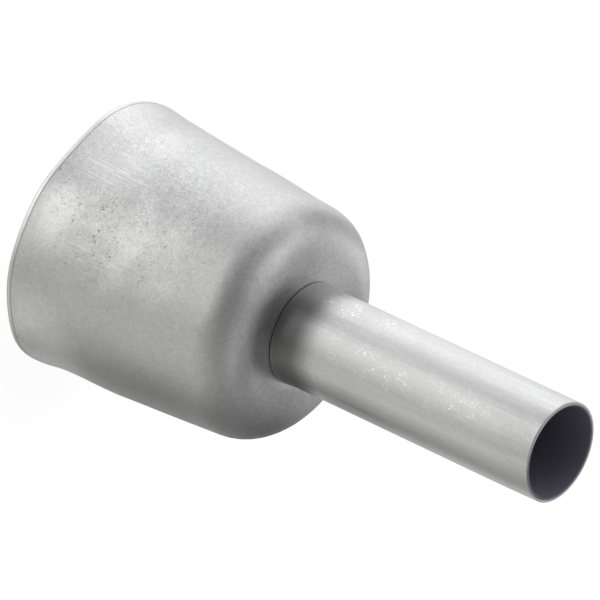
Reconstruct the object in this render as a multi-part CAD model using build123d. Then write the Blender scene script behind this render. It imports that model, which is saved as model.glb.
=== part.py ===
from build123d import *
import math
import os

# Hot air nozzle: a thin steel cup that pushes over the barrel of a hot air
# gun, and a straight tube that carries the air on, swaged into the hole in
# the cup's closed end. The nozzle stands on the cup's mouth, with its axis
# up. Lengths are in millimetres and angles in degrees.

# The cup's tapered wall and rounded shoulder
cup_sheet = 0.5
mouth_radius = 12.1
wall_taper = 3.6
cup_height = 22.5
shoulder_radius = 4.0

# The lip round the mouth, which leans out in two steps to lead the barrel in
lip_length = 7.0
lip_lean = 7.0
lip_step = 1.75
lip_edge_chamfer = 0.12

# The cup's closed end, which dips towards the hole
end_dip = 4.0
hole_edge_chamfer = 0.2

# The tube
tube_radius = 4.5
tube_wall = 0.4
tube_reach = 28.0
tip_edge_chamfer = 0.08

# The swaged joint: a flange under the closed end and a low bead above it
hole_clearance = 0.02
flange_width = 1.3
flange_mouth_chamfer = 0.4
bead_height = 0.12
bead_length = 1.6
bead_crest = 0.14
bead_foot = 0.06
bead_crest_flat = 0.08

# A line of a profile is a point on it and a heading. The point is the radius
# out from the nozzle's axis and the height above the mouth, and the heading
# is the angle up from straight out. Going up the wall and in across the
# closed end, the cup's outside is on the right and its inside on the left.


def moved_in(line, depth):
    """The parallel line that lies a depth to the left, further into the sheet."""
    (radius, height), heading = line
    left = math.radians(heading + 90)
    return (radius + depth * math.cos(left), height + depth * math.sin(left)), heading


def crossing(line_a, line_b):
    """The point where two lines of the profile cross."""
    (radius_a, height_a), heading_a = line_a
    (radius_b, height_b), heading_b = line_b
    a, b = math.radians(heading_a), math.radians(heading_b)
    run = (radius_b - radius_a) * math.sin(b) - (height_b - height_a) * math.cos(b)
    run /= math.sin(b - a)
    return radius_a + run * math.cos(a), height_a + run * math.sin(a)


def sharp(point):
    """A corner of an outline that is left as it is."""
    return point, 0, 0


def rounded(point, radius):
    """A corner of an outline that is rounded to a radius."""
    return point, radius, 0


def chamfered(point, size):
    """A corner of an outline that is cut off, that far along both of its sides."""
    return point, 0, size


def turned(corners):
    """The solid turned from a closed outline, given by its corners in order."""
    points, radii = [], []
    for i, (point, radius, chamfer) in enumerate(corners):
        if not chamfer:
            points.append(point)
            radii.append(radius)
            continue
        for neighbour in (corners[i - 1][0], corners[(i + 1) % len(corners)][0]):
            share = chamfer / math.dist(point, neighbour)
            points.append(tuple(a + share * (b - a) for a, b in zip(point, neighbour)))
            radii.append(0)
    outline = FilletPolyline(points, radius=radii, close=True)
    return revolve(Plane.XZ * make_face(outline), axis=Axis.Z)


# The lines that the cup and the tube share
hole_radius = tube_radius + hole_clearance
hole_side = (hole_radius, 0), 90
tube_outside = (tube_radius, 0), 90
tube_inside = (tube_radius - tube_wall, 0), 90
mouth_plane = (0, 0), 0
wall = (mouth_radius, 0), 90 + wall_taper
lip = crossing(wall, ((0, lip_length / 2), 0)), 90 + wall_taper + lip_lean
closed_end = (tube_radius, cup_height), 180 + end_dip


def make_cup():
    """The drawn cup: one sheet of even thickness, from the lip up to the pierced hole."""
    lip_inside = moved_in(lip, cup_sheet)
    wall_inside = moved_in(wall, cup_sheet)
    end_inside = moved_in(closed_end, cup_sheet)
    return turned([
        chamfered(crossing(mouth_plane, lip), lip_edge_chamfer),
        chamfered(crossing(lip, wall), lip_step),
        rounded(crossing(wall, closed_end), shoulder_radius),
        chamfered(crossing(closed_end, hole_side), hole_edge_chamfer),
        sharp(crossing(end_inside, hole_side)),
        rounded(crossing(wall_inside, end_inside), shoulder_radius - cup_sheet),
        chamfered(crossing(lip_inside, wall_inside), lip_step),
        chamfered(crossing(mouth_plane, lip_inside), lip_edge_chamfer),
    ])


def make_tube():
    """The tube: from the flange that holds it under the closed end up to its square-cut tip."""
    tip = (0, cup_height + tube_reach), 0
    flange_rim = (tube_radius + flange_width, 0), 90
    flange_top = moved_in(closed_end, cup_sheet)
    flange_under = moved_in(flange_top, tube_wall)
    return turned([
        chamfered(crossing(tube_outside, tip), tip_edge_chamfer),
        chamfered(crossing(tube_inside, tip), tip_edge_chamfer),
        chamfered(crossing(tube_inside, flange_under), flange_mouth_chamfer),
        sharp(crossing(flange_rim, flange_under)),
        sharp(crossing(flange_rim, flange_top)),
        sharp(crossing(tube_outside, flange_top)),
        sharp((tube_radius, cup_height - bead_foot)),
        chamfered((tube_radius + bead_height, cup_height + bead_crest), bead_crest_flat),
        sharp((tube_radius, cup_height + bead_length)),
    ])


cup = make_cup()
tube = make_tube()

os.makedirs("parts", exist_ok=True)
export_step(cup, "parts/cup.step")
export_step(tube, "parts/tube.step")
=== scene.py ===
# %% [markdown]
# # A hot air nozzle
# The nozzle is two pieces of thin stainless steel: a cup drawn from sheet,
# and a straight tube swaged into the hole in the cup's closed end. This
# lesson turns both pieces ring by ring, gives them the small dents that
# handling left in them, and spends most of its care on the dull steel,
# because there is no paint and no print to look at instead.

# %% Load the fixed frame
import bpy
import math
from mathutils import Matrix, Vector


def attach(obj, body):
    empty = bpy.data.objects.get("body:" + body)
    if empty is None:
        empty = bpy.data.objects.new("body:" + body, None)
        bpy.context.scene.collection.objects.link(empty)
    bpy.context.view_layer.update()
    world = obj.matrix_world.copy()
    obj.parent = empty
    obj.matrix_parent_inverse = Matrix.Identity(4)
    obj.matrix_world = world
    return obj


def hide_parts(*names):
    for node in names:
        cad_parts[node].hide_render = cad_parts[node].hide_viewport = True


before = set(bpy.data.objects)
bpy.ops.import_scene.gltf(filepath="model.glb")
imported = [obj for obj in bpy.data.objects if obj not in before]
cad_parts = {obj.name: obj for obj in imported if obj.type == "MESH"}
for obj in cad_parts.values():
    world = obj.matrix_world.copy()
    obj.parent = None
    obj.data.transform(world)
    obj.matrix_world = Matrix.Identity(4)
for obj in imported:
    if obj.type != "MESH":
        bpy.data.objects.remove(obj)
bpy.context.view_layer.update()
print("CAD nodes:", sorted(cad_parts))

# %% [markdown]
# ## The camera
# The photograph was taken from far away through a long lens, so parallel
# edges stay almost parallel. The nozzle lies across the picture: its axis
# drops to the right by one angle, and comes towards the camera by another.
# In the model the axis stands upright, so the camera is rolled instead. We
# write down where the axis points as the camera sees it, and turn that into
# the camera's own three directions.

# %% Place the camera
MM = 0.001
AXIS_DROP = math.radians(25.1)
AXIS_TOWARDS = math.radians(33.2)
CAMERA_DISTANCE = 846.0 * MM
LENS_MM, SENSOR_MM = 600.0, 36.0
PICTURE_PX = 600
# The centre of the cup's closed end is seen at these pixels and lies this high in the model.
END_CENTRE_PX = (304.3, 332.5)
END_HEIGHT = 22.5 * MM
NEAREST_SEEN, FARTHEST_SEEN = 0.05, 20.0

focal_px = LENS_MM / SENSOR_MM * PICTURE_PX
# Here x is to the right in the picture, y is down it and z is into it.
axis = Vector((math.cos(AXIS_TOWARDS) * math.cos(AXIS_DROP),
               math.cos(AXIS_TOWARDS) * math.sin(AXIS_DROP),
               -math.sin(AXIS_TOWARDS)))
side = Vector((-math.sin(AXIS_DROP), math.cos(AXIS_DROP), 0))
away = axis.cross(side)
picture = Matrix((side, away, axis))
right, down, into = (picture @ Vector(v) for v in ((1, 0, 0), (0, 1, 0), (0, 0, 1)))

offset_px = [c - PICTURE_PX / 2 for c in END_CENTRE_PX]
end_seen = (right * offset_px[0] + down * offset_px[1]) / focal_px + into
eye = Vector((0, 0, END_HEIGHT)) - end_seen * CAMERA_DISTANCE

camera_data = bpy.data.cameras.new("camera")
camera_data.lens = LENS_MM
camera_data.sensor_width = SENSOR_MM
camera_data.clip_start, camera_data.clip_end = NEAREST_SEEN, FARTHEST_SEEN
camera = bpy.data.objects.new("camera", camera_data)
bpy.context.scene.collection.objects.link(camera)
bpy.context.scene.camera = camera
turn = Matrix((right, -down, -into)).transposed()
camera.matrix_world = Matrix.Translation(eye) @ turn.to_4x4()
print("camera at", [round(c, 3) for c in eye], "looking along", [round(c, 3) for c in into])

# %% [markdown]
# ## Outlines
# Each piece is turned about the upright axis, so its whole shape is in one
# half section. We list the section's corners in order, as a radius, a height
# and the rounding that the corner has, all in millimetres. The helper below
# walks round them, puts points along each rounding, and divides the long
# straight stretches, so that later dents have points to move.

# %% Walk round a section
ARC_STEP, LEAST_STEPS = math.radians(7), 3


def tangent_arc(before, corner, after, radius):
    """Points along the arc that rounds a corner, from its first side to its second."""
    to_before, to_after = (before - corner).normalized(), (after - corner).normalized()
    half = to_before.angle(to_after) / 2
    reach = radius / math.tan(half)
    start, end = corner + to_before * reach, corner + to_after * reach
    centre = corner + (to_before + to_after).normalized() * radius / math.sin(half)
    sweep = (start - centre).angle_signed(end - centre)
    steps = max(LEAST_STEPS, math.ceil(abs(sweep) / ARC_STEP))
    spokes = [Matrix.Rotation(-sweep * i / steps, 2) @ (start - centre) for i in range(steps + 1)]
    return [centre + spoke for spoke in spokes]


def section(corners, longest):
    """The points of a closed section, none further apart than the longest step."""
    spots = [Vector(c[:2]) for c in corners]
    walk = []
    for i, (radius, height, rounding) in enumerate(corners):
        if rounding:
            walk += tangent_arc(spots[i - 1], spots[i], spots[(i + 1) % len(spots)], rounding)
        else:
            walk.append(spots[i])
    points = []
    for here, there in zip(walk, walk[1:] + walk[:1]):
        steps = max(1, math.ceil((there - here).length / longest))
        points += [here.lerp(there, i / steps) for i in range(steps)]
    return points


# %% [markdown]
# ## Turning a piece
# A press draws a cup out of a flat disc a little at a time, and the same can
# be done by hand here: add a circle, then extrude it and scale it, ring after
# ring, until the section is closed. A spin would do it in one step, but the
# rings are easy to follow and stay evenly spaced. Bridging the last ring to
# the first one closes the skin.

# %% Turn a piece from its section
def deselect():
    """Leave edit mode and select nothing."""
    if bpy.context.object and bpy.context.object.mode != "OBJECT":
        bpy.ops.object.mode_set(mode="OBJECT")
    bpy.ops.object.select_all(action="DESELECT")


def turned(name, points, segments):
    """A closed mesh turned from a section in millimetres, ring by ring."""
    deselect()
    radius, height = points[0]
    bpy.ops.mesh.primitive_circle_add(vertices=segments, radius=radius * MM, location=(0, 0, 0))
    piece = bpy.context.object
    piece.name = piece.data.name = name
    bpy.ops.object.mode_set(mode="EDIT")
    bpy.ops.mesh.select_all(action="SELECT")
    bpy.ops.transform.translate(value=(0, 0, height * MM))
    for here, there in zip(points, points[1:]):
        lift = (there[1] - here[1]) * MM
        grow = there[0] / here[0]
        bpy.ops.mesh.extrude_region_move(TRANSFORM_OT_translate={"value": (0, 0, lift)})
        bpy.ops.transform.resize(value=(grow, grow, 1), center_override=(0, 0, 0))
    bpy.ops.mesh.select_all(action="DESELECT")
    bpy.ops.mesh.select_mode(type="EDGE")
    bpy.ops.mesh.select_non_manifold()
    bpy.ops.mesh.bridge_edge_loops()
    bpy.ops.mesh.select_all(action="SELECT")
    bpy.ops.mesh.normals_make_consistent(inside=False)
    bpy.ops.mesh.select_mode(type="VERT")
    bpy.ops.object.mode_set(mode="OBJECT")
    bpy.ops.object.shade_smooth()
    print(name, "rings", len(points), "faces", len(piece.data.polygons))
    return piece


# %% [markdown]
# ## The cup
# The cup is one sheet, half a millimetre thick all over. Its wall narrows
# towards the closed end, its lip leans out so that it starts easily on the
# barrel, and a large rounding leads into the end, which dips a little towards
# the hole. Every line of the section is therefore drawn twice: once for the
# outside, and once moved inwards by the sheet.

# %% Sizes of the cup
SHEET = 0.5
MOUTH_RADIUS, WALL_TAPER, CUP_HEIGHT = 12.1, 3.6, 22.5
SHOULDER_RADIUS = 4.0
LIP_LENGTH, LIP_LEAN, LIP_STRAIGHT = 7.0, 7.0, 0.24
LIP_ROLL, LIP_EDGE = 0.18, 0.12
END_DIP = 4.0
TUBE_RADIUS = 4.5
HOLE_CLEARANCE, HOLE_EDGE = 0.02, 0.1
print("cup:", CUP_HEIGHT, "mm high, from a sheet of", SHEET, "mm")

# %% [markdown]
# A line of the section is a point on it and the way in which it runs. Moved
# inwards by the sheet, it gives the inside of the same stretch, and the
# section's corners are the points where neighbouring lines cross.

# %% Lines of the cup
def line(radius, height, heading):
    """A line of a section, from a point on it and its angle up from straight out."""
    angle = math.radians(heading)
    return Vector((radius, height)), Vector((math.cos(angle), math.sin(angle)))


def moved_in(a_line, depth):
    """The parallel line a depth to the left, which is deeper in the sheet."""
    point, way = a_line
    return point + Vector((-way.y, way.x)) * depth, way


def crossing(line_a, line_b):
    """The point where two lines cross."""
    (a, way_a), (b, way_b) = line_a, line_b
    run = (b - a).cross(way_b) / way_a.cross(way_b)
    return a + way_a * run


floor_line = line(0, 0, 0)
wall = line(MOUTH_RADIUS, 0, 90 + WALL_TAPER)
lip = line(*crossing(wall, line(0, LIP_LENGTH / 2, 0)), 90 + WALL_TAPER + LIP_LEAN)
end = line(TUBE_RADIUS, CUP_HEIGHT, 180 + END_DIP)
hole = line(TUBE_RADIUS + HOLE_CLEARANCE, 0, 90)
lip_bend = (LIP_LENGTH / 2 - LIP_STRAIGHT) / math.tan(math.radians(LIP_LEAN / 2))
print("the lip bends with a radius of", round(lip_bend, 1), "mm")

# %% [markdown]
# The eight corners go round the section once: up the outside from the mouth
# to the hole, and back down the inside. The lip doesn't meet the wall at a
# corner but bends into it over nearly its whole length, so that corner has a
# very large rounding. The sharpest places on the cup are where it was cut,
# round its mouth and round the hole, and their edges are only broken.

# %% Turn the cup
lip_in, wall_in, end_in = (moved_in(a_line, SHEET) for a_line in (lip, wall, end))
cup_corners = [
    (*crossing(floor_line, lip), LIP_ROLL),
    (*crossing(lip, wall), lip_bend),
    (*crossing(wall, end), SHOULDER_RADIUS),
    (*crossing(end, hole), HOLE_EDGE),
    (*crossing(end_in, hole), HOLE_EDGE),
    (*crossing(wall_in, end_in), SHOULDER_RADIUS - SHEET),
    (*crossing(lip_in, wall_in), lip_bend + SHEET),
    (*crossing(floor_line, lip_in), LIP_EDGE),
]
cup = turned("nozzle_cup", section(cup_corners, longest=0.7), segments=192)

# %% [markdown]
# ## Handling marks
# A thin cup doesn't stay perfectly round. In the photograph the rim is flat
# at its upper left, stands out a little on both sides of that and at its
# lower left, and is pressed in at the bottom. Along the top the wall swells
# near the mouth and is hollow near the shoulder. We take hold of the nearest
# point each time and pull it with proportional editing, so that the inside of
# the sheet follows the outside. The pulls stay small, because the rim has to
# keep its place.
# Places on the cup are named by an angle round the axis, which is nought on
# the side that faces the camera and grows towards the top of the picture.

# %% Push the cup out of round
# How far from the axis a pressed place is looked for, in millimetres.
PRESS_RADIUS = 12.0


def outward(angle):
    """The direction out from the axis at an angle round it, in degrees."""
    turn = math.radians(angle)
    return Vector((-math.sin(turn), -math.cos(turn), 0))


def press(piece, angle, height, depth, reach):
    """Press a piece in at a place, or pull it out where the depth is negative."""
    deselect()
    bpy.context.view_layer.objects.active = piece
    piece.select_set(True)
    there = outward(angle) * PRESS_RADIUS * MM + Vector((0, 0, height * MM))
    nearest = min(piece.data.vertices, key=lambda v: (v.co - there).length).index
    piece.data.vertices.foreach_set("select", [False] * len(piece.data.vertices))
    piece.data.edges.foreach_set("select", [False] * len(piece.data.edges))
    piece.data.polygons.foreach_set("select", [False] * len(piece.data.polygons))
    piece.data.vertices[nearest].select = True
    before = piece.data.vertices[nearest].co.copy()
    bpy.ops.object.mode_set(mode="EDIT")
    bpy.ops.transform.translate(value=-outward(angle) * depth * MM, use_proportional_edit=True,
                                proportional_edit_falloff="SMOOTH", proportional_size=reach * MM)
    bpy.ops.object.mode_set(mode="OBJECT")
    moved = (piece.data.vertices[nearest].co - before).length / MM
    print("pressed at", angle, "degrees and", height, "mm up by", round(moved, 2), "mm")


press(cup, angle=29, height=0, depth=0.4, reach=5.5)
press(cup, angle=64, height=0, depth=-0.24, reach=6)
press(cup, angle=-30, height=0, depth=-0.3, reach=7)
press(cup, angle=-62, height=0, depth=-0.2, reach=5.5)
press(cup, angle=-95, height=0, depth=0.68, reach=8.5)
press(cup, angle=86, height=5, depth=-0.15, reach=6)
press(cup, angle=88, height=18.5, depth=0.24, reach=6)

# %% [markdown]
# Drawing also leaves the wall a little wavy, which is what breaks up its
# highlights. A displace modifier adds the waves from a cloud texture. They
# fade out at the rim and near the hole, so that the tube still fits. The
# rim's fade lies between two heights, and the hole's between two radii.

# %% Make the wall slightly wavy
WAVE_LENGTH, WAVE_HEIGHT = 5.0, 0.05
RIM_FADE, HOLE_FADE = (0.2, 2.5), (6.0, 9.0)


def smooth_step(value, low, high):
    """Nought below the low bound, one above the high bound and smooth between them."""
    share = min(1, max(0, (value - low) / (high - low)))
    return share * share * (3 - 2 * share)


def make_wavy(piece, length, height, weight):
    """Displace a piece along its normals, as strongly as the weight of each place says."""
    group = piece.vertex_groups.new(name="waves")
    for vertex in piece.data.vertices:
        group.add([vertex.index], weight(vertex.co / MM), "REPLACE")
    clouds = bpy.data.textures.new(piece.name + "_waves", "CLOUDS")
    clouds.noise_scale = length * MM
    modifier = piece.modifiers.new("waves", "DISPLACE")
    modifier.texture = clouds
    modifier.vertex_group = group.name
    modifier.strength = height * MM
    modifier.mid_level = 0.5
    deselect()
    bpy.context.view_layer.objects.active = piece
    piece.select_set(True)
    bpy.ops.object.modifier_apply(modifier=modifier.name)
    piece.vertex_groups.clear()


def cup_weight(at):
    """How strong the waves are at a place on the cup."""
    return smooth_step(at.z, *RIM_FADE) * smooth_step(at.xy.length, *HOLE_FADE)


make_wavy(cup, WAVE_LENGTH, WAVE_HEIGHT, cup_weight)
print("waves of", WAVE_HEIGHT, "mm,", WAVE_LENGTH, "mm long")

# %% [markdown]
# ## The tube
# The tube is turned the same way. Below the cup's end it is spread into a
# flange, and just above it a low bead, about an eighth of a millimetre high,
# was pressed up when the joint was swaged. The tip was cut square and its
# edges only broken, so the thin wall shows there as a narrow ring.

# %% Turn the tube
TUBE_WALL, TUBE_REACH, TIP_EDGE = 0.4, 28.0, 0.09
FLANGE_WIDTH, FLANGE_BEND, FLANGE_CORNER = 1.3, 0.55, 0.15
BEAD_HEIGHT, BEAD_LENGTH, BEAD_CREST, BEAD_FOOT = 0.12, 1.6, 0.14, 0.06
BEAD_ROUNDING, BEAD_BLEND = 0.25, 12.0
TIP_HEIGHT = CUP_HEIGHT + TUBE_REACH

tube_out, tube_in = line(TUBE_RADIUS, 0, 90), line(TUBE_RADIUS - TUBE_WALL, 0, 90)
tip = line(0, TIP_HEIGHT, 0)
flange_rim = line(TUBE_RADIUS + FLANGE_WIDTH, 0, 90)
flange_top = end_in
flange_under = moved_in(flange_top, TUBE_WALL)
tube_corners = [
    (*crossing(tube_out, tip), TIP_EDGE),
    (*crossing(tube_in, tip), TIP_EDGE),
    (*crossing(tube_in, flange_under), FLANGE_BEND),
    (*crossing(flange_rim, flange_under), TIP_EDGE),
    (*crossing(flange_rim, flange_top), TIP_EDGE),
    (*crossing(tube_out, flange_top), FLANGE_CORNER),
    (TUBE_RADIUS, CUP_HEIGHT - BEAD_FOOT, 0),
    (TUBE_RADIUS + BEAD_HEIGHT, CUP_HEIGHT + BEAD_CREST, BEAD_ROUNDING),
    (TUBE_RADIUS, CUP_HEIGHT + BEAD_LENGTH, BEAD_BLEND),
]
tube = turned("nozzle_tube", section(tube_corners, longest=0.9), segments=128)

# %% [markdown]
# The tube's tip was knocked out of round too. It bulges a little at the upper
# left of its mouth, is pressed in at the lower left, and has a small nick at
# the bottom. The same press does it, with a shorter reach.

# %% Push the tip out of round
press(tube, angle=32, height=TIP_HEIGHT, depth=-0.13, reach=5)
press(tube, angle=-52, height=TIP_HEIGHT, depth=0.17, reach=5)
press(tube, angle=-84, height=TIP_HEIGHT, depth=0.07, reach=0.9)

# %% [markdown]
# ## Small helpers for materials
# A shader is a small graph of nodes. The first helper adds a node and fills
# in its settings and sockets. The others are the sums that turn up most
# often.

# %% Node helpers
def add(tree, kind, settings=None, **sockets):
    """A node of a kind. A socket is given a value, or another node's output to link."""
    node = tree.nodes.new("ShaderNode" + kind)
    for key, value in (settings or {}).items():
        setattr(node, key, value)
    for key, value in sockets.items():
        name = int(key[1:]) if key[1:].isdigit() else key.replace("_", " ")
        if isinstance(value, bpy.types.NodeSocket):
            tree.links.new(value, node.inputs[name])
        else:
            node.inputs[name].default_value = value
    return node


def math_node(tree, operation, *values, clamp=False):
    """The result of a sum, with up to three values or linked sockets."""
    sockets = {f"i{i}": value for i, value in enumerate(values)}
    return add(tree, "Math", {"operation": operation, "use_clamp": clamp}, **sockets).outputs[0]


def stretched(tree, value, low, high, to_low=0.0, to_high=1.0, smooth=False):
    """A value spread over a new range and held at its ends. It falls where low is above high."""
    settings = {"interpolation_type": "SMOOTHSTEP" if smooth else "LINEAR"}
    return add(tree, "MapRange", settings, Value=value, From_Min=low, From_Max=high,
               To_Min=to_low, To_Max=to_high).outputs[0]


def length_of(tree, vector):
    """The length of a vector."""
    return add(tree, "VectorMath", {"operation": "LENGTH"}, i0=vector).outputs["Value"]


# %% [markdown]
# A node group is a small graph that several materials can share. The next
# helpers make a group with named sockets, place one in a material, and start
# a new material.

# %% Group and material helpers
def node_group(name, inputs, output):
    """An empty node group with named inputs, and its nodes for what goes in and out."""
    tree = bpy.data.node_groups.new(name, "ShaderNodeTree")
    for socket, value in inputs.items():
        kind = "NodeSocketFloat" if isinstance(value, float) else "NodeSocketVector"
        made = tree.interface.new_socket(socket, in_out="INPUT", socket_type=kind)
        made.default_value = value
    tree.interface.new_socket(output, in_out="OUTPUT", socket_type="NodeSocketFloat")
    got = tree.nodes.new("NodeGroupInput").outputs
    put = tree.nodes.new("NodeGroupOutput").inputs[output]
    return tree, got, put


def use(tree, group, **sockets):
    """The output of a node group, placed in a material."""
    return add(tree, "Group", {"node_tree": group}, **sockets).outputs[0]


def new_material(name):
    """A new material and its empty node tree."""
    material = bpy.data.materials.new(name)
    material.use_nodes = True
    material.node_tree.nodes.clear()
    return material, material.node_tree


# %% [markdown]
# ## Marks that both steels share
# Annealed and blasted stainless steel has a fine, even grain. Over it lie
# streaks that the drawing left along the axis, and soft-edged spots, which
# lay rubbed places as well as painted light and shade. Each one is a node
# group that takes the position in millimetres, so its sizes can be read off
# against the photograph.

# %% Grain, streaks and soft spots
ORIGIN = (0.0, 0.0, 0.0)
STREAK_CONTRAST, SPOT_CORE = 8.0, 0.2

grain, got, put = node_group("Steel grain", {"Position": ORIGIN, "Size": 0.3, "Detail": 2.0}, "Height")
scale = math_node(grain, "DIVIDE", 1.0, got["Size"])
noise = add(grain, "TexNoise", Vector=got["Position"], Scale=scale, Detail=got["Detail"], Roughness=0.6)
grain.links.new(noise.outputs[0], put)

streaks, got, put = node_group(
    "Drawn streaks", {"Position": ORIGIN, "Width": 0.3, "Length": 6.0, "Share": 0.4}, "Mask")
across = math_node(streaks, "DIVIDE", 1.0, got["Width"])
along = math_node(streaks, "DIVIDE", 1.0, got["Length"])
stretch = add(streaks, "CombineXYZ", X=across, Y=across, Z=along).outputs[0]
drawn = add(streaks, "VectorMath", {"operation": "MULTIPLY"}, i0=got["Position"], i1=stretch).outputs[0]
noise = add(streaks, "TexNoise", Vector=drawn, Scale=1.0, Detail=1.5)
least = math_node(streaks, "SUBTRACT", 0.75, math_node(streaks, "MULTIPLY", got["Share"], 0.5))
over = math_node(streaks, "SUBTRACT", noise.outputs[0], least)
streaks.links.new(math_node(streaks, "MULTIPLY", over, STREAK_CONTRAST, clamp=True), put)

spot, got, put = node_group(
    "Soft spot", {"Position": ORIGIN, "Centre": ORIGIN, "Reach": (1.0, 1.0, 1.0)}, "Mask")
offset = add(spot, "VectorMath", {"operation": "SUBTRACT"}, i0=got["Position"], i1=got["Centre"]).outputs[0]
share = add(spot, "VectorMath", {"operation": "DIVIDE"}, i0=offset, i1=got["Reach"]).outputs[0]
spot.links.new(stretched(spot, length_of(spot, share), 1.0, SPOT_CORE, smooth=True), put)
print("node groups:", ", ".join(group.name for group in (grain, streaks, spot)))

# %% [markdown]
# Two masks follow the nozzle's round shape. A long scratch is a thin line at
# an angle round the cup, so the angle has to be worked out from the position,
# and a degree of it is about a fifth of a millimetre on the wall. A ring
# fades with the distance from the corner in which the tube leaves the cup.
# The tube has it as painted shade, and the cup as a narrow ring of painted light.

# %% Scratches and the ring round the corner
MM_PER_DEGREE = 0.21

scratch, got, put = node_group(
    "Long scratch",
    {"Position": ORIGIN, "Angle": 0.0, "Lean": 0.0, "Bottom": 0.0, "Top": 5.0, "Width": 0.1}, "Mask")
parts = add(scratch, "SeparateXYZ", Vector=got["Position"]).outputs
sideways = math_node(scratch, "MULTIPLY", parts["X"], -1.0)
forwards = math_node(scratch, "MULTIPLY", parts["Y"], -1.0)
turned_by = math_node(scratch, "DEGREES", math_node(scratch, "ARCTAN2", sideways, forwards))
risen = math_node(scratch, "SUBTRACT", parts["Z"], got["Bottom"])
wanted = math_node(scratch, "MULTIPLY_ADD", risen, got["Lean"], got["Angle"])
off_mm = math_node(scratch, "MULTIPLY", math_node(scratch, "SUBTRACT", turned_by, wanted), MM_PER_DEGREE)
thin = math_node(scratch, "DIVIDE", math_node(scratch, "ABSOLUTE", off_mm), got["Width"])
left_over = math_node(scratch, "SUBTRACT", got["Top"], parts["Z"])
ends = math_node(scratch, "MINIMUM", risen, left_over, clamp=True)
middle = math_node(scratch, "SUBTRACT", 1.0, thin, clamp=True)
scratch.links.new(math_node(scratch, "MULTIPLY", middle, ends), put)


def distance_out(tree, parts):
    """How far a position is from the nozzle's axis, from its separate parts."""
    return length_of(tree, add(tree, "CombineXYZ", X=parts["X"], Y=parts["Y"]).outputs[0])


corner, got, put = node_group("Corner ring", {"Position": ORIGIN, "Solid": 2.0, "Width": 5.2}, "Mask")
parts = add(corner, "SeparateXYZ", Vector=got["Position"]).outputs
beyond = math_node(corner, "SUBTRACT", distance_out(corner, parts), TUBE_RADIUS)
above = math_node(corner, "SUBTRACT", parts["Z"], CUP_HEIGHT)
away_mm = length_of(corner, add(corner, "CombineXYZ", X=beyond, Y=above).outputs[0])
corner.links.new(stretched(corner, away_mm, got["Width"], got["Solid"], smooth=True), put)
print("node groups:", ", ".join(group.name for group in (scratch, corner)))

# %% [markdown]
# ## Helpers for layers
# A steel starts as one mottled grey and gets one thin layer after another.
# Each layer is a mask and the colour, or the roughness, that it brings.

# %% Layer helpers
def grey(level):
    """A neutral grey."""
    return (level, level, level, 1)


def over_colour(tree, mask, below, colour):
    """A colour laid over another one where the mask is white."""
    mix = add(tree, "Mix", {"data_type": "RGBA"}, i0=mask, i6=below, i7=colour)
    return mix.outputs[2]


def over_value(tree, mask, below, value):
    """A number laid over another one where the mask is white."""
    mix = add(tree, "Mix", {"data_type": "FLOAT"}, i0=mask, i2=below, i3=value)
    return mix.outputs[0]


def faded(tree, mask, strength):
    """A mask made weaker."""
    return math_node(tree, "MULTIPLY", mask, strength)


def layered(tree, colour, layers):
    """A colour under layers, each of which has a mask, a strength and a colour of its own."""
    for mask, strength, brought in layers:
        colour = over_colour(tree, faded(tree, mask, strength), colour, brought)
    return colour


def band(tree, value, low, high, soft):
    """A mask that is white where a value lies between two bounds, with soft ends."""
    rise = stretched(tree, value, low - soft, low + soft)
    fall = stretched(tree, value, high + soft, high - soft)
    return math_node(tree, "MULTIPLY", rise, fall)


def raised(tree, height, distance, strength=1.0, below=None):
    """A bump that stands a distance in millimetres high, over an earlier one where there is one."""
    sockets = {"Normal": below} if below is not None else {}
    bump = add(tree, "Bump", Height=height, Strength=strength, Distance=distance * MM, **sockets)
    return bump.outputs[0]


# %% [markdown]
# Where a mark lies is written in millimetres as well. The next helpers give
# the position on a piece, the place of a mark by its angle round the axis and
# its height, and a row of soft clouds of painted light and shade over a grey.

# %% Place helpers
WALL_RADIUS = 11.8


def millimetres(tree):
    """The position on the piece in millimetres, from its own origin."""
    here = add(tree, "TexCoord").outputs["Object"]
    return add(tree, "VectorMath", {"operation": "SCALE"}, i0=here, Scale=1 / MM).outputs[0]


def place(angle, height, radius=WALL_RADIUS):
    """A place on the nozzle in millimetres, for the centre of a spot."""
    return (*(outward(angle) * radius)[:2], height)


def spot_at(tree, here, centre, reach):
    """A soft spot with a centre and a reach each way, in millimetres."""
    return use(tree, spot, Position=here, Centre=centre, Reach=reach)


def clouded(tree, here, level, clouds):
    """A grey level with soft clouds of painted light and shade laid over it."""
    for centre, reach, strength, brightness in clouds:
        mask = faded(tree, spot_at(tree, here, centre, reach), strength)
        level = over_value(tree, mask, level, brightness)
    return level
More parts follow.
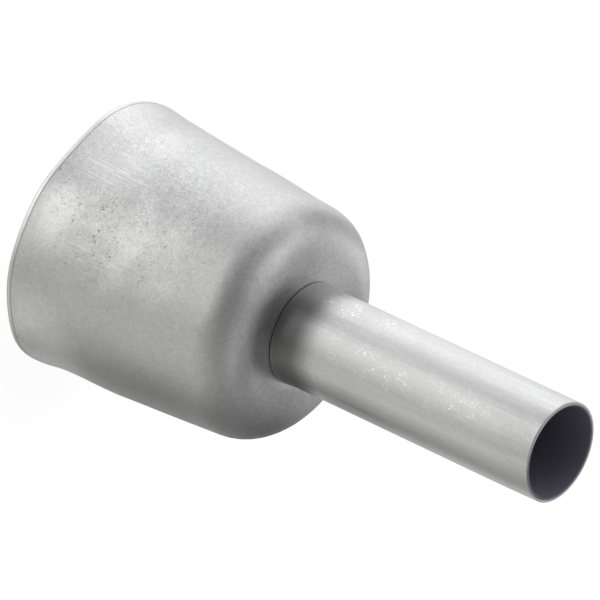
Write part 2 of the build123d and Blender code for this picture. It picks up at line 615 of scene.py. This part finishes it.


# %% [markdown]
# ## The cup's steel
# The drawn cup is the duller of the two. Broad clouds of painted light and
# shade, some pale and some dark, keep its wall from looking even. Single
# scratches and pits are listed one by one as well, close to where the
# photograph shows them, because a random pattern wouldn't put them on the
# side that faces us.

# %% Clouds, scratches and pits on the cup
# Each cloud is painted light when pale and painted shade when dark. It has a centre, a reach each way, a
# strength and the grey that it brings.
CUP_PAINTED_LIGHT_AND_SHADE = (
    (place(2, 2.6, 12), (4.0, 4.0, 2.6), 0.65, 0.86),
    (place(50, 1.0, 12.2), (8.0, 8.0, 3.6), 0.4, 0.9),
    (place(51, 5.5, 12), (5.0, 5.0, 3.6), 0.25, 0.9),
    (place(13, 17.5, 11.1), (6.0, 6.0, 4.5), 0.35, 0.35),
    (place(36, 21.1, 10.0), (3.6, 3.6, 1.2), 0.4, 0.3),
    (place(74, 21.3, 9.9), (4.8, 4.8, 1.1), 0.32, 0.25),
    (place(22, 22.0, 9.0), (4.8, 4.8, 0.8), 0.32, 0.9),
    (place(-59, 1.8, 12.2), (7.0, 7.0, 6.5), 0.9, 0.9),
    (place(100, 22.4, 6.4), (3.5, 6.0, 1.6), 0.8, 0.85),
    (place(100, 21.6, 9.6), (1.7, 5.0, 1.7), 0.45, 0.3),
    (place(-92, 22.4, 7.5), (5.0, 5.0, 1.8), 0.5, 0.3),
    (place(-110, 20.5, 9.8), (6.0, 6.0, 5.0), 0.65, 0.18),
    (place(-76, 14.0, 11.3), (6.5, 6.5, 11.0), 0.5, 0.3),
)
SCRATCH_WIDTH = 0.08
# A scratch has an angle, a lean in degrees a millimetre, a bottom, a top and a strength.
SCRATCHES = (
    (28.0, 0.14, 1.8, 9.4, 1.0),
    (24.5, 0.2, 3.5, 7.5, 0.4),
    (-13.0, 0.1, 3.0, 12.0, 0.22),
    (-9.0, 0.05, 5.0, 18.0, 0.2),
    (-7.0, -0.1, 2.5, 9.0, 0.25),
)
# A pit has an angle, a height and a size.
LONE_PITS = (
    (18, 0.75, 0.25), (2, 7.0, 0.15), (-1, 6.8, 0.11), (-3, 7.1, 0.14),
    (8, 4.25, 0.12), (8, 13.5, 0.12), (14, 10.75, 0.13), (60, 4.75, 0.17),
    (-6, 9.0, 0.1), (4, 8.2, 0.1), (20, 15.0, 0.11), (-4, 12.0, 0.12),
)
print("on the cup:", len(CUP_PAINTED_LIGHT_AND_SHADE), "clouds,", len(SCRATCHES), "scratches and", len(LONE_PITS), "lone pits")

# %% [markdown]
# The grain is fine noise that lightens and darkens the grey of the clouds. It
# stands out most on the side that catches the light and on the closed end.
# Where the noise is deepest, and wider noise gathers it, it turns into fine
# dark pits.

# %% Grey and pits of the cup
CONTRAST, LIT_CONTRAST, END_CONTRAST = 0.115, 0.115, 0.09


def cup_grey(tree, here, mottle, fine, peel, facing):
    """The cup's mottled grey, with painted highlight and shade in its clouds, and its grain."""
    level = over_value(tree, mottle, 0.55, 0.62)
    # Painted highlight: patches of the mottle are lightened on the side that faces the camera, where the
    # bright band lies.
    patchy_highlight = stretched(tree, mottle, 0.45, 0.62, to_high=0.1)
    level = math_node(tree, "MULTIPLY_ADD", patchy_highlight, facing, level)
    level = clouded(tree, here, level, CUP_PAINTED_LIGHT_AND_SHADE)
    upper = spot_at(tree, here, place(30, 9), (12.0, 12.0, 15.0))
    end_face = spot_at(tree, here, (0, 0, 23), (13.0, 13.0, 3.5))
    contrast = math_node(tree, "MULTIPLY_ADD", end_face, END_CONTRAST, CONTRAST)
    contrast = math_node(tree, "MULTIPLY_ADD", upper, LIT_CONTRAST, contrast)
    speck = stretched(tree, fine, 0.32, 0.68, to_low=-1.0, to_high=1.0)
    clump = stretched(tree, peel, 0.3, 0.7, to_low=-0.4, to_high=0.4)
    specks = math_node(tree, "MULTIPLY", math_node(tree, "ADD", speck, clump), contrast)
    level = math_node(tree, "MULTIPLY_ADD", level, specks, level, clamp=True)
    return add(tree, "CombineColor", Red=level, Green=level, Blue=level).outputs[0]


def cup_pits(tree, here, fine, facing):
    """The fine pits in the grain, mostly on the side that faces us, and the lone ones."""
    deep = stretched(tree, fine, 0.4, 0.33)
    bunch = stretched(tree, use(tree, grain, Position=here, Size=1.1, Detail=1.0), 0.54, 0.66)
    pit = math_node(tree, "MULTIPLY", deep, bunch)
    pit = math_node(tree, "MULTIPLY", pit, math_node(tree, "MULTIPLY_ADD", facing, 0.9, 0.1))
    slope = math.tan(math.radians(WALL_TAPER))
    for angle, height, size in LONE_PITS:
        on_wall = place(angle, height, MOUTH_RADIUS - height * slope)
        lone = spot_at(tree, here, on_wall, (size, size, size))
        pit = math_node(tree, "MAXIMUM", pit, lone)
    return pit


# %% [markdown]
# A rubbed patch of bright scratches runs up the wall from the rim, and fainter
# and shorter ones lie below it in the picture. Round the mouth the cut edge
# is dark, a painted highlight runs just above it, strongest on the lit side,
# and a thin line of painted shade ends it.

# %% Scratches and the rim of the cup
def cup_scratches(tree, here):
    """The rubbed patch, the bright scratches in and near it, and the fainter ones below it."""
    rub = spot_at(tree, here, place(29, 5.2), (2.9, 2.9, 4.6))
    hair = use(tree, streaks, Position=here, Width=0.17, Length=9.0, Share=0.42)
    hair = math_node(tree, "MULTIPLY", hair, rub)
    for angle, lean, bottom, top, strength in SCRATCHES:
        thin_line = use(tree, scratch, Position=here, Angle=angle, Lean=lean, Bottom=bottom, Top=top,
                        Width=SCRATCH_WIDTH)
        hair = math_node(tree, "MAXIMUM", hair, faded(tree, thin_line, strength))
    low_rub = spot_at(tree, here, place(-11, 8), (1.8, 1.8, 8.5))
    low_hair = use(tree, streaks, Position=here, Width=0.12, Length=2.5, Share=0.36)
    return rub, hair, math_node(tree, "MULTIPLY", low_hair, low_rub)


def rim_bands(tree, here):
    """The cut edge of the mouth, the painted highlight above it and the line of painted shade that ends it.
    """
    height = add(tree, "SeparateXYZ", Vector=here).outputs["Z"]
    cut = band(tree, height, -1.0, 0.14, 0.03)
    lit_side = spot_at(tree, here, place(12, 0.25), (9.0, 9.0, 9.0))
    # Painted highlight just above the cut edge, strongest on the lit side, then a line of painted shade
    # beyond it.
    rim_highlight = band(tree, height, 0.17, 0.35, 0.03)
    rim_highlight = math_node(tree, "MULTIPLY", rim_highlight, math_node(tree, "MAXIMUM", lit_side, 0.3))
    return cut, rim_highlight, band(tree, height, 0.4, 0.52, 0.05)


# %% [markdown]
# Now the layers go over each other, with the rim's painted highlight last. The
# fine noise changes the roughness too, so that the grain catches the light
# unevenly. Grain and pits give the bump, and a few hundredths of a millimetre
# are enough for dull steel.

# %% Cup steel
ROUGH_GRAIN = 0.06


def make_cup_steel():
    """The dull, marked steel of the cup."""
    material, tree = new_material("cup_steel")
    here = millimetres(tree)
    mottle = use(tree, grain, Position=here, Size=3.0, Detail=3.0)
    fine = use(tree, grain, Position=here, Size=0.13, Detail=3.0)
    peel = use(tree, grain, Position=here, Size=0.5, Detail=2.0)
    facing = spot_at(tree, here, place(3, 9), (7.0, 7.0, 11.0))
    pit = cup_pits(tree, here, fine, facing)
    rub, hair, low_hair = cup_scratches(tree, here)
    cut, rim_highlight, rim_shade_line = rim_bands(tree, here)
    # A narrow ring of painted light on the cup's end, round the tube.
    corner_light_ring = use(tree, corner, Position=here, Solid=0.0, Width=1.2)

    colour = layered(tree, cup_grey(tree, here, mottle, fine, peel, facing), (
        (rub, 0.45, grey(0.84)),
        (hair, 0.8, grey(0.95)),
        (low_hair, 0.45, grey(0.85)),
        (pit, 0.48, grey(0.14)),
        (corner_light_ring, 0.5, grey(0.85)),
        (rim_shade_line, 0.5, grey(0.2)),
        (cut, 0.6, grey(0.25)),
    ))
    colour = over_colour(tree, rim_highlight, colour, grey(0.95))
    rough = over_value(tree, mottle, 0.37, 0.45)
    smoother = math_node(tree, "SUBTRACT", rough, ROUGH_GRAIN)
    rougher = math_node(tree, "ADD", rough, ROUGH_GRAIN)
    rough = over_value(tree, fine, smoother, rougher)
    rough = over_value(tree, hair, rough, 0.3)
    bump = raised(tree, peel, 0.018)
    bump = raised(tree, fine, 0.02, below=bump)
    bump = raised(tree, math_node(tree, "SUBTRACT", 1.0, pit), 0.04, below=bump)
    shader = add(tree, "BsdfPrincipled", Base_Color=colour, Metallic=1.0, Roughness=rough, Normal=bump)
    add(tree, "OutputMaterial", Surface=shader.outputs[0])
    return material


cup.data.materials.append(make_cup_steel())
print("cup:", cup.data.materials[0].name, "with", len(cup.data.materials[0].node_tree.nodes), "nodes")

# %% [markdown]
# ## The tube's steel
# The tube is smoother and a little brighter. Streaks run along it, and small
# painted glints gather in two bands, where its highlights lie. Where it leaves
# the cup, painted shade darkens the corner. Inside, the hot air has
# left soot. Soot isn't metal, so there the colour, the roughness and the
# metallic value all change together.

# %% Marks on the tube
# These clouds of painted light and shade are written as the cup's are.
TUBE_PAINTED_LIGHT_AND_SHADE = (
    (place(-84, 47, TUBE_RADIUS), (3.4, 3.4, 16.0), 0.8, 0.95),
    (place(92, 38, TUBE_RADIUS), (2.5, 2.5, 16.0), 0.5, 0.95),
    (place(-67, 31, TUBE_RADIUS), (2.6, 2.6, 6.0), 0.4, 0.3),
    (place(57, 40, TUBE_RADIUS), (3.0, 3.0, 15.0), 0.5, 0.5),
    (place(60, 28.5, TUBE_RADIUS), (2.6, 2.6, 5.0), 0.45, 0.45),
    (place(20, 50.5, TUBE_RADIUS), (6.5, 6.5, 8.0), 0.5, 0.5),
)
# The grey of the painted shade round the tube's root.
CORNER_SHADE_GREY = (0.139, 0.14, 0.141, 1)
SOOT_COLOUR, SOOT_FADE = (0.19, 0.18, 0.23, 1), 0.08
print("on the tube:", len(TUBE_PAINTED_LIGHT_AND_SHADE), "clouds")


def tube_painted_glints(tree, here):
    """Painted glints: small bright places in fine noise, gathered by wider noise and most in the two
    highlight bands.
    """
    bright = stretched(tree, use(tree, grain, Position=here, Size=0.2, Detail=2.0), 0.56, 0.64)
    bunch = stretched(tree, use(tree, grain, Position=here, Size=1.2, Detail=1.0), 0.48, 0.62)
    high_band = spot_at(tree, here, place(56, 28, TUBE_RADIUS), (2.4, 2.4, 9.0))
    near_band = spot_at(tree, here, place(0, 36, TUBE_RADIUS), (2.2, 2.2, 16.0))
    bands = math_node(tree, "MAXIMUM", high_band, math_node(tree, "MAXIMUM", near_band, 0.15))
    return math_node(tree, "MULTIPLY", math_node(tree, "MULTIPLY", bright, bunch), bands)


def tube_corner_shade(tree, here, height):
    """Painted shade round the tube's root, and a second patch of it on its underside, near the root."""
    corner_shade = use(tree, corner, Position=here, Solid=2.0, Width=5.2)
    shaded = spot_at(tree, here, place(8, 24, TUBE_RADIUS), (6.0, 6.0, 9.0))
    corner_shade = math_node(tree, "MULTIPLY", corner_shade, math_node(tree, "MULTIPLY_ADD", shaded, 0.7, 0.3))
    under = spot_at(tree, here, place(-70, 24.5, TUBE_RADIUS), (4.5, 4.5, 4.5))
    return corner_shade, math_node(tree, "MULTIPLY", under, band(tree, height, 0.0, 27.2, 0.35))


# %% [markdown]
# The tube's layers go on in the same order: grey, painted clouds of light and
# shade, and grain, then streaks, painted glints and painted shade, and the soot
# last, because it covers all that is inside. The grain is as fine as the cup's, but fainter and lower.

# %% Tube steel
def make_tube_steel():
    """The smoother steel of the tube, with soot inside it."""
    material, tree = new_material("tube_steel")
    here = millimetres(tree)
    parts = add(tree, "SeparateXYZ", Vector=here).outputs
    mottle = use(tree, grain, Position=here, Size=1.6, Detail=3.0)
    fine = use(tree, grain, Position=here, Size=0.14, Detail=2.0)
    streak = use(tree, streaks, Position=here, Width=0.5, Length=9.0, Share=0.5)
    painted_glint = tube_painted_glints(tree, here)
    corner_shade, under = tube_corner_shade(tree, here, parts["Z"])
    middle_of_wall = TUBE_RADIUS - TUBE_WALL / 2
    soot = stretched(tree, distance_out(tree, parts), middle_of_wall, middle_of_wall - SOOT_FADE)

    level = clouded(tree, here, over_value(tree, mottle, 0.6, 0.66), TUBE_PAINTED_LIGHT_AND_SHADE)
    speck = stretched(tree, fine, 0.32, 0.68, to_low=-0.055, to_high=0.055)
    level = math_node(tree, "ADD", level, speck, clamp=True)
    colour = add(tree, "CombineColor", Red=level, Green=level, Blue=level).outputs[0]
    colour = layered(tree, colour, (
        (streak, 0.3, grey(0.72)),
        # Painted glints in the two highlight bands.
        (painted_glint, 0.9, grey(0.98)),
        (corner_shade, 0.86, CORNER_SHADE_GREY),
        (under, 0.48, CORNER_SHADE_GREY),
    ))
    colour = over_colour(tree, soot, colour, SOOT_COLOUR)
    rough = over_value(tree, mottle, 0.28, 0.38)
    rough = over_value(tree, painted_glint, rough, 0.22)
    rough = over_value(tree, soot, rough, 0.8)
    bare = math_node(tree, "SUBTRACT", 1.0, soot)
    bump = raised(tree, streak, 0.01, strength=0.25)
    bump = raised(tree, fine, 0.01, below=bump)
    shader = add(tree, "BsdfPrincipled", Base_Color=colour, Metallic=bare, Roughness=rough, Normal=bump)
    add(tree, "OutputMaterial", Surface=shader.outputs[0])
    return material


tube.data.materials.append(make_tube_steel())
print("tube:", tube.data.materials[0].name, "with", len(tube.data.materials[0].node_tree.nodes), "nodes")

# %% [markdown]
# ## Into the frame
# The frame holds the plain solids of the same two pieces. Each piece rides on
# the part's root and stands in for its own solid, which is hidden.

# %% Hand the pieces to the frame
for piece, node, slot in ((cup, "cup", "cup_steel"), (tube, "tube", "tube_steel")):
    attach(piece, "root")
    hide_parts(node)
    print(piece.name, "stands in for", node, "in", slot)

# %% [markdown]
# ## The studio
# Dull steel shows its surroundings as soft bands, so the light matters more
# than the steel does. It comes from soft glows over a weak even light. Each
# glow has a direction in the picture's own terms (right, up, towards the
# camera), a focus and a strength. The strongest are above and behind the
# nozzle, narrower ones stand on the left of the camera and low on its right,
# and the space round the camera itself is left dark, because the steel would
# show it in the corner round the tube.

# %% The glows
glow, got, put = node_group(
    "Soft glow",
    {"Direction": ORIGIN, "Towards": ORIGIN, "Focus": 9.0, "Strength": 1.0, "So Far": 0.0}, "Light")
facing = add(glow, "VectorMath", {"operation": "DOT_PRODUCT"}, i0=got["Direction"], i1=got["Towards"])
short = math_node(glow, "SUBTRACT", facing.outputs["Value"], 1.0)
lobe = math_node(glow, "EXPONENT", math_node(glow, "MULTIPLY", short, got["Focus"]))
glow.links.new(math_node(glow, "MULTIPLY_ADD", lobe, got["Strength"], got["So Far"]), put)

EVEN_LIGHT = 0.2
GLOWS = {
    "above and behind": ((-0.04, 0.87, -0.50), 9, 1.15),
    "above": ((0.30, 0.95, 0.12), 9, 0.88),
    "above on the left": ((-0.57, 0.81, -0.12), 9, 0.55),
    "behind": ((0.20, 0.50, -0.84), 10, 0.6),
    "down the axis": ((-0.76, 0.35, -0.55), 14, 2.0),
    "low and behind": ((-0.22, -0.36, -0.91), 16, 0.35),
    "low on the right, behind": ((0.75, -0.50, -0.42), 12, 0.14),
    "high left, by the camera": ((-0.51, 0.61, 0.61), 30, 1.3),
    "left, by the camera": ((-0.65, 0.10, 0.75), 30, 1.1),
    "left": ((-0.89, 0.37, 0.27), 9, 0.64),
    "low left": ((-0.86, -0.50, 0.04), 9, 0.51),
    "low": ((-0.42, -0.80, 0.42), 9, 0.34),
    "low right, by the camera": ((0.55, -0.70, 0.45), 20, 0.56),
    "right": ((0.88, 0.32, 0.35), 9, 0.98),
    "right and behind": ((0.75, 0.10, -0.65), 9, 0.75),
}
print("glows:", ", ".join(GLOWS))

# %% [markdown]
# A photographer hangs white cloth round a shiny thing and lights the cloth.
# Here a large sphere is the cloth, and the glows are painted on its inside.
# The camera looks through it, so the picture's background is the plain white
# world behind.

# %% The white world
bpy.context.scene.world = bpy.data.worlds.new("white")
bpy.context.scene.world.use_nodes = True
background = bpy.context.scene.world.node_tree.nodes["Background"]
background.inputs["Color"].default_value = (1, 1, 1, 1)
background.inputs["Strength"].default_value = 1.0
print("world:", bpy.context.scene.world.name)

# %% [markdown]
# The cloth adds one glow to the next and gives off the sum. It is a little
# warmer on the left, as the light in the photograph is, and for that the same
# node group makes a mask.

# %% The tent
TENT_RADIUS = 2.9
COOL_CLOTH, WARM_CLOTH = (1.0, 1.0, 1.013, 1), (1.0, 1.004, 0.94, 1)
WARM_SIDE = (-0.88, -0.3, 0.0)


def as_seen(towards):
    """A direction given in the picture's own terms, turned into the scene's."""
    rightwards, upwards, nearer = towards
    return (right * rightwards - down * upwards - into * nearer).normalized()


def make_tent_cloth():
    """Cloth that gives off all the glows."""
    material, tree = new_material("tent_cloth")
    spoke = add(tree, "TexCoord").outputs["Object"]
    direction = add(tree, "VectorMath", {"operation": "NORMALIZE"}, i0=spoke).outputs[0]
    light = EVEN_LIGHT
    for towards, focus, strength in GLOWS.values():
        light = use(tree, glow, Direction=direction, Towards=as_seen(towards), Focus=focus,
                    Strength=strength, So_Far=light)
    warm = use(tree, glow, Direction=direction, Towards=as_seen(WARM_SIDE), Focus=2.0,
               Strength=1.0, So_Far=0.0)
    tint = over_colour(tree, warm, COOL_CLOTH, WARM_CLOTH)
    shine = add(tree, "Emission", Color=tint, Strength=light)
    add(tree, "OutputMaterial", Surface=shine.outputs[0])
    material.cycles.emission_sampling = "NONE"
    return material


deselect()
bpy.ops.mesh.primitive_uv_sphere_add(segments=64, ring_count=32, radius=TENT_RADIUS, location=(0, 0, 0))
tent = bpy.context.object
tent.name = "tent"
bpy.ops.object.shade_smooth()
tent.visible_camera = False
tent.visible_transmission = False
tent.data.materials.append(make_tent_cloth())
print("tent:", TENT_RADIUS, "m in radius")

# %% [markdown]
# ## The floor
# The nozzle stands on pale paper. Wherever the paper is looked at, directly
# or in a mirror or through glass, a little light of its own lifts it to
# white, and the nozzle's soft shadow still shows on it. Towards the steel it
# is plain diffuse paper, and the steel doesn't mirror it, so that the glows
# alone draw the shading.

# %% The paper floor
FLOOR_SIZE = 6.0
PAPER_GREY, PAPER_GREY_SEEN, PAPER_LIFT = 0.8, 0.35, 0.86


def make_floor_paper():
    """Plain paper, which is lifted to white wherever it is looked at."""
    material, tree = new_material("floor_paper")
    path = add(tree, "LightPath").outputs
    plain = add(tree, "BsdfDiffuse", Color=grey(PAPER_GREY)).outputs[0]
    shade = add(tree, "BsdfDiffuse", Color=grey(PAPER_GREY_SEEN)).outputs[0]
    lift = add(tree, "Emission", Color=grey(1.0), Strength=PAPER_LIFT).outputs[0]
    lit = add(tree, "AddShader", i0=shade, i1=lift).outputs[0]
    mirrored = math_node(tree, "MAXIMUM", path["Is Glossy Ray"], path["Is Transmission Ray"])
    seen = math_node(tree, "MAXIMUM", path["Is Camera Ray"], mirrored)
    mix = add(tree, "MixShader", i0=seen, i1=plain, i2=lit)
    add(tree, "OutputMaterial", Surface=mix.outputs[0])
    return material


deselect()
bpy.ops.mesh.primitive_plane_add(size=FLOOR_SIZE, location=(0, 0, 0))
floor = bpy.context.object
floor.name = "floor"
floor.visible_glossy = False
floor.visible_shadow = False
floor.data.materials.append(make_floor_paper())
print("floor:", FLOOR_SIZE, "m wide")

# %% [markdown]
# ## The last settings
# The colours should come out as they were written, so the view transform is
# the standard one.

# %% Colours as they are written
bpy.context.scene.view_settings.view_transform = "Standard"
print("view transform:", bpy.context.scene.view_settings.view_transform)
